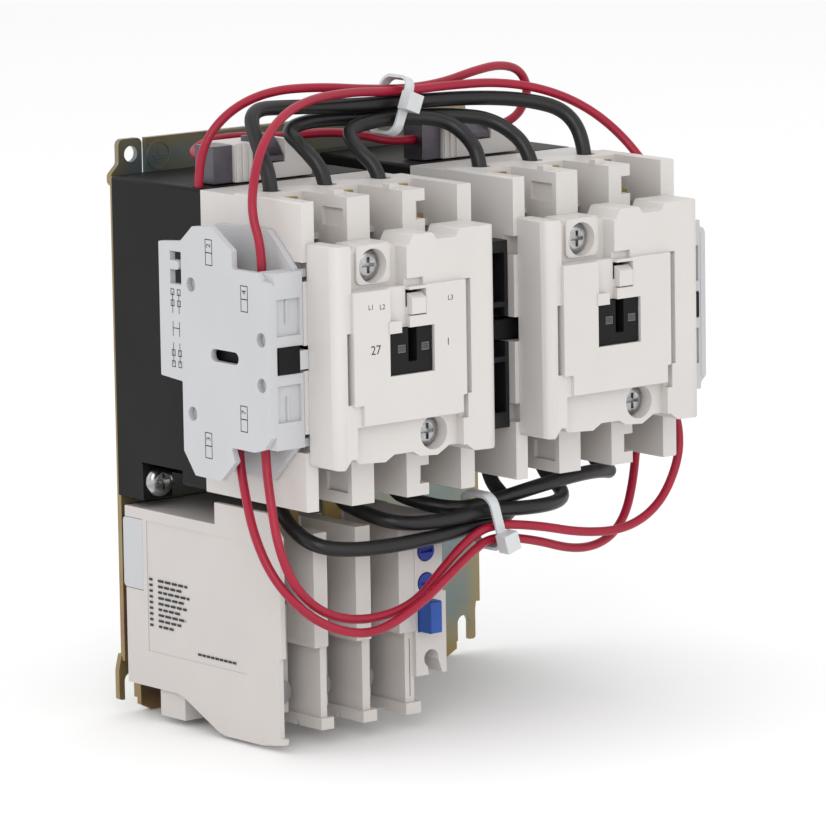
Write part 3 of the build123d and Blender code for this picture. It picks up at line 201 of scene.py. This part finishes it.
def make_cord(name, route, radius, finish):
    """A round conductor along a route, standing for its CAD node."""
    curve = bpy.data.curves.new(name + "_visual", "CURVE")
    fill_spline(curve, route)
    curve.bevel_depth = radius
    curve.bevel_resolution = 6
    curve.use_fill_caps = True
    piece = bpy.data.objects.new(name + "_visual", curve)
    SCENE.collection.objects.link(piece)
    curve.materials.append(finish)
    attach(piece, "starter_frame")
    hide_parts(name)
    route_length(route)
    return piece


# ---- materials
def new_material(name):
    material = bpy.data.materials.new(name)
    material.use_nodes = True
    tree = material.node_tree
    return material, tree, tree.nodes["Principled BSDF"]


def noise_of(tree, scale, detail, source=None, roughness=0.55):
    noise = tree.nodes.new("ShaderNodeTexNoise")
    noise.inputs["Scale"].default_value = scale
    noise.inputs["Detail"].default_value = detail
    noise.inputs["Roughness"].default_value = roughness
    if source is None:
        source = tree.nodes.new("ShaderNodeTexCoord").outputs["Object"]
    tree.links.new(source, noise.inputs["Vector"])
    return noise


def ramp_of(tree, factor, stops):
    ramp = tree.nodes.new("ShaderNodeValToRGB")
    while len(ramp.color_ramp.elements) < len(stops):
        ramp.color_ramp.elements.new(0.5)
    for element, (place, colour) in zip(ramp.color_ramp.elements, stops):
        element.position = place
        element.color = (*colour, 1.0)
    tree.links.new(factor, ramp.inputs["Fac"])
    return ramp


def spread_of(tree, factor, low, high):
    spread = tree.nodes.new("ShaderNodeMapRange")
    spread.inputs["To Min"].default_value = low
    spread.inputs["To Max"].default_value = high
    tree.links.new(factor, spread.inputs["Value"])
    return spread


def fade_of(tree, value, span, levels):
    """A level that goes from the first to the second over a span of a value."""
    fade = tree.nodes.new("ShaderNodeMapRange")
    fade.inputs["From Min"].default_value = span[0]
    fade.inputs["From Max"].default_value = span[1]
    fade.inputs["To Min"].default_value = levels[0]
    fade.inputs["To Max"].default_value = levels[1]
    tree.links.new(value, fade.inputs["Value"])
    return fade.outputs["Result"]


def shade(colour, by):
    return tuple(min(1.0, max(0.0, c * by)) for c in colour)


def tint(tree, shader, tone, colour, variation):
    """Base colour that wanders a share either side of a colour."""
    ramp = ramp_of(tree, tone.outputs["Fac"],
                   [(0.3, shade(colour, 1 - variation)), (0.7, shade(colour, 1 + variation))])
    tree.links.new(ramp.outputs["Color"], shader.inputs["Base Color"])


def relieve(tree, shader, fine, strength, depth):
    """Surface relief from a noise, depth in metres."""
    relief = tree.nodes.new("ShaderNodeBump")
    relief.inputs["Strength"].default_value = strength
    relief.inputs["Distance"].default_value = depth
    tree.links.new(fine.outputs["Fac"], relief.inputs["Height"])
    tree.links.new(relief.outputs["Normal"], shader.inputs["Normal"])


def moulded(name, colour, rough=0.42, variation=0.05, grain=2600.0, bump=0.12, subsurface=0.0, specular=0.4):
    """Moulded plastic: faint large-scale tone, fine grain in the gloss and a trace of texture."""
    material, tree, shader = new_material(name)
    tone = noise_of(tree, 38.0, 4.0)
    tint(tree, shader, tone, colour, variation)
    fine = noise_of(tree, grain, 3.0)
    gloss = spread_of(tree, fine.outputs["Fac"], rough - 0.07, rough + 0.07)
    tree.links.new(gloss.outputs["Result"], shader.inputs["Roughness"])
    relieve(tree, shader, fine, bump, 0.00006)
    shader.inputs["Specular IOR Level"].default_value = specular
    shader.inputs["Subsurface Weight"].default_value = subsurface
    shader.inputs["Subsurface Radius"].default_value = (0.002, 0.0016, 0.0012)
    return material


def metal(name, colour, rough=0.3, variation=0.08, grain=900.0, bump=0.1, scale=120.0):
    """Plated or rolled metal with patchy tone and fine scratches."""
    material, tree, shader = new_material(name)
    shader.inputs["Metallic"].default_value = 1.0
    tone = noise_of(tree, scale, 5.0)
    tint(tree, shader, tone, colour, variation)
    fine = noise_of(tree, grain, 4.0)
    gloss = spread_of(tree, fine.outputs["Fac"], rough - 0.08, rough + 0.1)
    tree.links.new(gloss.outputs["Result"], shader.inputs["Roughness"])
    relieve(tree, shader, fine, bump, 0.00005)
    return material


def dichromate(name):
    """Passivated zinc sheet: blue-grey drifting to olive and violet, gold along its edges and feet."""
    material, tree, shader = new_material(name)
    shader.inputs["Metallic"].default_value = 0.85
    place = tree.nodes.new("ShaderNodeTexCoord").outputs["Object"]
    cloud = noise_of(tree, 24.0, 6.0, place, roughness=0.6)
    face = ramp_of(tree, cloud.outputs["Fac"], [
        (0.28, (0.20, 0.25, 0.23)), (0.42, (0.17, 0.21, 0.215)), (0.53, (0.20, 0.22, 0.18)),
        (0.62, (0.26, 0.24, 0.14)), (0.74, (0.20, 0.17, 0.20))])
    gold = ramp_of(tree, cloud.outputs["Fac"], [
        (0.3, (0.30, 0.25, 0.10)), (0.52, (0.34, 0.24, 0.09)), (0.7, (0.30, 0.15, 0.09))])
    parts = tree.nodes.new("ShaderNodeSeparateXYZ")
    tree.links.new(place, parts.inputs["Vector"])
    across = tree.nodes.new("ShaderNodeMath")
    across.operation = "ABSOLUTE"
    tree.links.new(parts.outputs["X"], across.inputs[0])
    low = fade_of(tree, parts.outputs["Z"], FOOT_GOLD, (1.0, 0.0))
    side_edge = fade_of(tree, across.outputs["Value"], SIDE_GOLD, (0.0, 0.75))
    top_edge = fade_of(tree, parts.outputs["Z"], TOP_GOLD, (0.0, 0.6))
    edges = tree.nodes.new("ShaderNodeMath")
    edges.operation = "MAXIMUM"
    tree.links.new(side_edge, edges.inputs[0])
    tree.links.new(top_edge, edges.inputs[1])
    gilding = tree.nodes.new("ShaderNodeMath")
    gilding.operation = "MAXIMUM"
    tree.links.new(low, gilding.inputs[0])
    tree.links.new(edges.outputs["Value"], gilding.inputs[1])
    blend = tree.nodes.new("ShaderNodeMix")
    blend.data_type = "RGBA"
    tree.links.new(gilding.outputs["Value"], blend.inputs["Factor"])
    tree.links.new(face.outputs["Color"], blend.inputs["A"])
    tree.links.new(gold.outputs["Color"], blend.inputs["B"])
    tree.links.new(blend.outputs["Result"], shader.inputs["Base Color"])
    fine = noise_of(tree, 700.0, 5.0, place)
    gloss = spread_of(tree, fine.outputs["Fac"], 0.28, 0.46)
    tree.links.new(gloss.outputs["Result"], shader.inputs["Roughness"])
    relieve(tree, shader, fine, 0.15, 0.00008)
    return material


def two_tone(material, axis, span, second):
    """Turns a material to a second colour over a span of the distance from the row's origin along an axis."""
    tree = material.node_tree
    shader = tree.nodes["Principled BSDF"]
    first = shader.inputs["Base Color"].links[0].from_socket
    place = tree.nodes.new("ShaderNodeTexCoord").outputs["Object"]
    parts = tree.nodes.new("ShaderNodeSeparateXYZ")
    tree.links.new(place, parts.inputs["Vector"])
    size = tree.nodes.new("ShaderNodeMath")
    size.operation = "ABSOLUTE"
    tree.links.new(parts.outputs[axis], size.inputs[0])
    blend = tree.nodes.new("ShaderNodeMix")
    blend.data_type = "RGBA"
    blend.inputs["B"].default_value = (*second, 1.0)
    tree.links.new(fade_of(tree, size.outputs["Value"], span, (0.0, 1.0)), blend.inputs["Factor"])
    tree.links.new(first, blend.inputs["A"])
    tree.links.new(blend.outputs["Result"], shader.inputs["Base Color"])
    return material


def insulation(name, colour, rough, specular):
    """Extruded wire insulation, smooth with a slight waviness in its gloss."""
    material, tree, shader = new_material(name)
    place = tree.nodes.new("ShaderNodeTexCoord").outputs["Object"]
    tone = noise_of(tree, 60.0, 3.0, place)
    tint(tree, shader, tone, colour, 0.1)
    fine = noise_of(tree, 1800.0, 3.0, place)
    gloss = spread_of(tree, fine.outputs["Fac"], rough - 0.05, rough + 0.08)
    tree.links.new(gloss.outputs["Result"], shader.inputs["Roughness"])
    relieve(tree, shader, fine, 0.1, 0.00004)
    shader.inputs["Specular IOR Level"].default_value = specular
    return material


LIGHT = moulded("light_plastic", (0.575, 0.55, 0.53), rough=0.42, variation=0.02, subsurface=0.04)
AUX = moulded("aux_plastic", (0.485, 0.49, 0.505), rough=0.42, variation=0.02, subsurface=0.04)
RELAY = moulded("relay_plastic", (0.53, 0.50, 0.48), rough=0.44, variation=0.025)
BLACK = moulded("black_plastic", (0.0075, 0.007, 0.0075), rough=0.48, variation=0.25, bump=0.3, specular=0.16)
DARK = moulded("grey_plastic", (0.014, 0.014, 0.015), rough=0.46, variation=0.15, specular=0.2)
BLUE = moulded("blue_plastic", (0.018, 0.072, 0.31), rough=0.4, variation=0.08, specular=0.3)
NAVY = moulded("dial_plastic", (0.012, 0.03, 0.24), rough=0.38, variation=0.08, specular=0.3)
NYLON = moulded("nylon", (0.57, 0.585, 0.60), rough=0.3, variation=0.03, subsurface=0.2)
PRINT = moulded("print_ink", (0.035, 0.035, 0.04), rough=0.6, variation=0.1, specular=0.2)
WITNESS = moulded("witness_grey", (0.12, 0.12, 0.125), rough=0.5, variation=0.2, specular=0.3)
FOOT_GOLD = (-0.174, -0.161)  # heights over which the plate's feet turn gold-brown
SIDE_GOLD = (0.0645, 0.0715)  # distances from the middle over which its sides turn gold
TOP_GOLD = (0.0, 0.005)  # heights over which its top edge turns gold
PLATE = dichromate("zinc_plate")
PLUNGER = two_tone(moulded("plunger_plastic", (0.0075, 0.007, 0.0075), rough=0.45, variation=0.2,
                           specular=0.16),
                   "X", (0.07515, 0.07505), (0.52, 0.52, 0.54))  # its inner end is white
CLAMP = metal("clamp_steel", (0.13, 0.12, 0.14), rough=0.34, variation=0.2)
ZINC = metal("bright_zinc", (0.40, 0.40, 0.40), rough=0.24, variation=0.35, scale=420.0)
STEEL = metal("core_steel", (0.30, 0.30, 0.31), rough=0.38)
SPRING = metal("spring_steel", (0.6, 0.6, 0.6), rough=0.25)
BRASS = metal("brass", (0.50, 0.38, 0.15), rough=0.3, variation=0.2)
RELAY_METAL = two_tone(metal("relay_terminals", (0.50, 0.38, 0.15), rough=0.3, variation=0.2),
                       "Z", (0.134, 0.136), (0.38, 0.38, 0.38))  # brass above, zinc screws below
COPPER = metal("copper", (0.72, 0.36, 0.2), rough=0.35)
PVC_BLACK = insulation("pvc_black", (0.0085, 0.008, 0.009), 0.34, 0.4)
PVC_RED = insulation("pvc_red", (0.31, 0.0065, 0.028), 0.32, 0.35)

for cord_name, cord_route in POWER_ROUTES.items():
    make_cord(cord_name, cord_route, POWER_RADIUS, PVC_BLACK)
for cord_name, cord_route in CONTROL_ROUTES.items():
    make_cord(cord_name, cord_route, CONTROL_RADIUS, PVC_RED)


# ---- finishes of the pieces made in CAD
def finish_node(node, material, edge=0.00025):
    """Gives a CAD piece its material and softly rounded edges."""
    piece = NODES[node]
    piece.data.materials.clear()
    piece.data.materials.append(material)
    if edge:
        weld = piece.modifiers.new("weld", "WELD")
        weld.merge_threshold = 0.000002
        bevel = piece.modifiers.new("edge", "BEVEL")
        bevel.width = edge
        bevel.segments = 2
        bevel.limit_method = "ANGLE"
        bevel.angle_limit = radians(40)
        bevel.harden_normals = True


SIDE_FINISHES = {
    "magnet_base": (BLACK, 0.0003), "contact_housing": (LIGHT, 0.00025), "front_cover": (LIGHT, 0.0003),
    "magnet_core": (STEEL, 0), "coil_bobbin": (LIGHT, 0.0002), "coil": (COPPER, 0), "armature": (STEEL, 0),
    "crosshead": (BLACK, 0.0002), "moving_contacts": (COPPER, 0), "contact_springs": (SPRING, 0),
    "return_springs": (SPRING, 0), "auxiliary_body": (AUX, 0.00025), "auxiliary_cover": (AUX, 0.00025),
    "auxiliary_plunger": (PLUNGER, 0.0002),
}
for side in CONTACTOR_X:
    for piece_name, (finish, edge_width) in SIDE_FINISHES.items():
        finish_node(f"{side}_{piece_name}", finish, edge_width)
SHARED_FINISHES = {
    "mounting_plate": (PLATE, 0.0002), "base_screws": (ZINC, 0.00015), "cover_screws": (ZINC, 0.00015),
    "power_terminal_screws": (ZINC, 0.00015), "line_terminals": (BRASS, 0), "load_terminals": (BRASS, 0),
    "coil_terminals": (CLAMP, 0.0002), "auxiliary_terminals": (BRASS, 0), "cable_ties": (NYLON, 0.0003),
    "interlock_housing": (DARK, 0.0002), "interlock_rocker": (BLACK, 0), "interlock_pin": (ZINC, 0),
    "overload_case": (RELAY, 0.00025), "overload_side_cover": (RELAY, 0.00025),
    "overload_latch": (AUX, 0.0002),
    "overload_heater_packs": (RELAY, 0.0002), "overload_terminals": (RELAY_METAL, 0.0001),
    "overload_reset_lever": (BLUE, 0.00025), "overload_current_dial": (NAVY, 0.0002),
    "overload_mode_dial": (NAVY, 0.0002), "overload_bracket": (ZINC, 0.0002),
}
for piece_name, (finish, edge_width) in SHARED_FINISHES.items():
    finish_node(piece_name, finish, edge_width)


def shorten_return_springs(side):
    """Stands an unchanged copy of the CAD springs in their place."""
    node = f"{side}_return_springs"
    piece = bpy.data.objects.new(node + "_visual", NODES[node].data.copy())
    SCENE.collection.objects.link(piece)
    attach(piece, "starter_frame")
    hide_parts(node)
    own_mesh(piece)


for side in CONTACTOR_X:
    shorten_return_springs(side)


# ---- printed marks, raised a few hundredths of a millimetre
INK = 0.00003
LINE = 0.28 * MM  # width of printed lines
FRONT_PANEL_Y = -15.2  # label panel's front, behind the housing front


def to_front(point):
    """Placement of print read from the front, at a point."""
    return Matrix.Translation(point) @ Matrix.Rotation(radians(90), 4, "X")


def to_left(point, turn=0.0):
    """Placement of print read from the left-hand side, at a point, turned anticlockwise by an angle."""
    facing = Matrix(((0, 0, -1), (-1, 0, 0), (0, 1, 0))).to_4x4()
    return Matrix.Translation(point) @ facing @ Matrix.Rotation(turn, 4, "Z")


def lettering(name, words, size, place):
    """Raised letters centred on a placement, size in metres."""
    curve = bpy.data.curves.new(name, "FONT")
    curve.body = words
    curve.size = size
    curve.extrude = INK
    curve.align_x = "CENTER"
    curve.align_y = "CENTER"
    curve.resolution_u = 4
    curve.materials.append(PRINT)
    piece = bpy.data.objects.new(name, curve)
    piece.matrix_world = place
    SCENE.collection.objects.link(piece)
    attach(piece, "starter_frame")


def print_bars(name, bars, place, body="starter_frame", material=None):
    """One mesh of thin printed bars; each bar is (left, bottom, right, top) in metres on the placement."""
    mesh = bpy.data.meshes.new(name)
    corners = []
    faces = []
    for left, bottom, right, top in bars:
        first = len(corners)
        corners += [(x, y, z) for z in (-INK, INK) for x, y in
                    ((left, bottom), (right, bottom), (right, top), (left, top))]
        faces += [[first + i for i in face] for face in
                  ((3, 2, 1, 0), (4, 5, 6, 7), (0, 1, 5, 4), (1, 2, 6, 5), (2, 3, 7, 6), (3, 0, 4, 7))]
    mesh.from_pydata(corners, [], faces)
    mesh.materials.append(material or PRINT)
    piece = bpy.data.objects.new(name, mesh)
    piece.matrix_world = place
    SCENE.collection.objects.link(piece)
    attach(piece, body)


def outline(left, bottom, right, top, line):
    """Four bars round a rectangle."""
    return [(left, bottom, right, bottom + line), (left, top - line, right, top),
            (left, bottom + line, left + line, top - line), (right - line, bottom + line, right, top - line)]


def mark_front_cover():
    """Phase marks and two numbers on the left label panel."""
    for name, words, x, z, size in (
            ("line_1", "L1", -59.5, 15.5, 2.2), ("line_2", "L2", -55.2, 15.2, 2.2),
            ("line_3", "L3", -29.1, 15.4, 2.2),
            ("rating", "27", -57.9, 2.4, 3.9), ("size", "1", -30.2, 2.1, 3.2)):
        lettering("print_" + name, words, size * MM, to_front(at(x, FRONT_PANEL_Y, z)))


def mark_auxiliary_cover():
    """Numbered double boxes on the outer face of the left auxiliary cover."""
    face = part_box("left_auxiliary_cover")[0].x / MM
    tags = (("upper_rear", "2", 29.4, 30.3), ("upper_front", "4", 12.2, 18.0),
            ("lower_front", "7", 13.4, -18.4), ("lower_rear", "3", 31.3, -28.6))
    wide, tall = 1.75 * MM, 4.0 * MM  # half sizes of a pair of boxes
    number_size = 2.9 * MM
    frame_bars = outline(-wide, -tall, wide, 0, LINE) + outline(-wide, -LINE, wide, tall, LINE)
    for name, words, y, z in tags:
        print_bars("print_tag_" + name, frame_bars, to_left(at(face, y, z)))
        lettering("print_number_" + name, words, number_size, to_left(at(face, y, z + 2.0), radians(90)))


mark_front_cover()
mark_auxiliary_cover()


WITNESS_Y = -14.13  # behind the housing front
WITNESS_Z = 1.65


def witness_marks(side):
    """Two pale squares in the front of the crosshead, each with three bars flush with it."""
    half, tall, inset, thin = 1.5 * MM, 1.2 * MM, 0.3 * MM, 0.12 * MM
    bars = [(-half, -tall, half, tall)]
    bars += [(-half + inset, z - thin, half - inset, z + thin) for z in (-0.6 * MM, 0, 0.6 * MM)]
    for index, offset in enumerate((-6.5, 2.5)):
        place = to_front(at(CONTACTOR_X[side] + offset, WITNESS_Y, WITNESS_Z))
        print_bars(f"witness_{side}_{index}", bars, place, f"{side}_moving_group", WITNESS)


for side in CONTACTOR_X:
    witness_marks(side)


# print on the relay's side, in mm: rows run forwards from RELAY_PRINT_Y
RELAY_PRINT_Y = 81.0
ROW_TOP = -78.5
ROW_PITCH = 1.8
ROW_H = 0.75
ROW_START = 4.5
WORD_GAP = 0.7
ROW_ENDS = (19.5, 17.0, 20.5, 18.0, 19.0, 15.5, 18.5, 16.0, 12.0)


def mark_relay():
    """Generic rows of print on the relay's side label: no words."""
    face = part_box("overload_side_cover")[0].x / MM
    place = to_left(at(face, RELAY_PRINT_Y, 0))
    bars = []
    for row, reach in enumerate(ROW_ENDS):
        height = ROW_TOP - row * ROW_PITCH
        start = ROW_START
        while start < reach:
            word = 1.6 + 1.3 * abs(sin(7.3 * row + start))
            bars.append((start * MM, height * MM, min(start + word, reach) * MM, (height + ROW_H) * MM))
            start += word + WORD_GAP
        bars.append((0.0, height * MM, 1.6 * MM, (height + ROW_H) * MM))
    print_bars("print_relay_rows", bars, place)
    footer = [((24.5 + 2.2 * i) * MM, -98.7 * MM, (26.2 + 2.2 * i) * MM, -98.0 * MM) for i in range(9)]
    print_bars("print_relay_footer", footer, place)


mark_relay()


def schematic():
    """Wiring diagram lines down the rear edge of the auxiliary cover."""
    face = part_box("left_auxiliary_cover")[0].x / MM
    column, half_box = 1.6 * MM, 0.9 * MM
    bars = []
    for offset in (-column, column):
        for low, high in ((-11.0, -4.5), (-2.5, 2.0), (4.5, 11.0)):
            bars.append((offset - LINE / 2, low * MM, offset + LINE / 2, high * MM))
        for height in (-11.0, -7.6, 7.6, 11.0):
            bars += outline(offset - half_box, (height - 1.0) * MM,
                            offset + half_box, (height + 1.0) * MM, LINE)
    bars.append((-column, -LINE / 2, column, LINE / 2))
    print_bars("print_schematic", bars, to_left(at(face, 46.4, 5.5)))


schematic()


# ---- floor and studio light
FLOOR_GAP = 0.0002  # below the lowest point
AIM = Vector((0, -0.05, -0.07))  # where the lamps point


def make_stage():
    """A pale floor, four soft lamps and an even white surround."""
    low = REST_BOUNDS[0]
    bpy.ops.mesh.primitive_plane_add(size=6.0, location=(0, 0, low[2] - FLOOR_GAP))
    floor = bpy.context.object
    floor.name = "floor"
    material, tree, shader = new_material("floor")
    paper = noise_of(tree, 3.0, 2.0)
    ramp = ramp_of(tree, paper.outputs["Fac"], [(0.3, (0.955, 0.955, 0.955)), (0.7, (0.965, 0.965, 0.965))])
    tree.links.new(ramp.outputs["Color"], shader.inputs["Base Color"])
    shader.inputs["Roughness"].default_value = 0.8
    floor.data.materials.append(material)
    lamps = [
        ("key", (-1.5, -1.6, 1.0), 1.3, 15.0), ("fill", (0.3, -2.0, 0.25), 1.4, 5.0),
        ("top", (0.1, -0.1, 1.9), 1.8, 4.0), ("rim", (-1.5, 0.9, 0.9), 1.2, 3.0),
    ]
    for name, place, size, power in lamps:
        data = bpy.data.lights.new(name, "AREA")
        data.size = size
        data.energy = power
        lamp = bpy.data.objects.new(name, data)
        lamp.location = place
        lamp.rotation_euler = (AIM - Vector(place)).to_track_quat("-Z", "Y").to_euler()
        SCENE.collection.objects.link(lamp)
    world = bpy.data.worlds.new("studio")
    world.use_nodes = True
    world.node_tree.nodes["Background"].inputs["Color"].default_value = (1.0, 1.0, 1.0, 1.0)
    world.node_tree.nodes["Background"].inputs["Strength"].default_value = 0.95
    SCENE.world = world
    SCENE.view_settings.view_transform = "Standard"


make_stage()
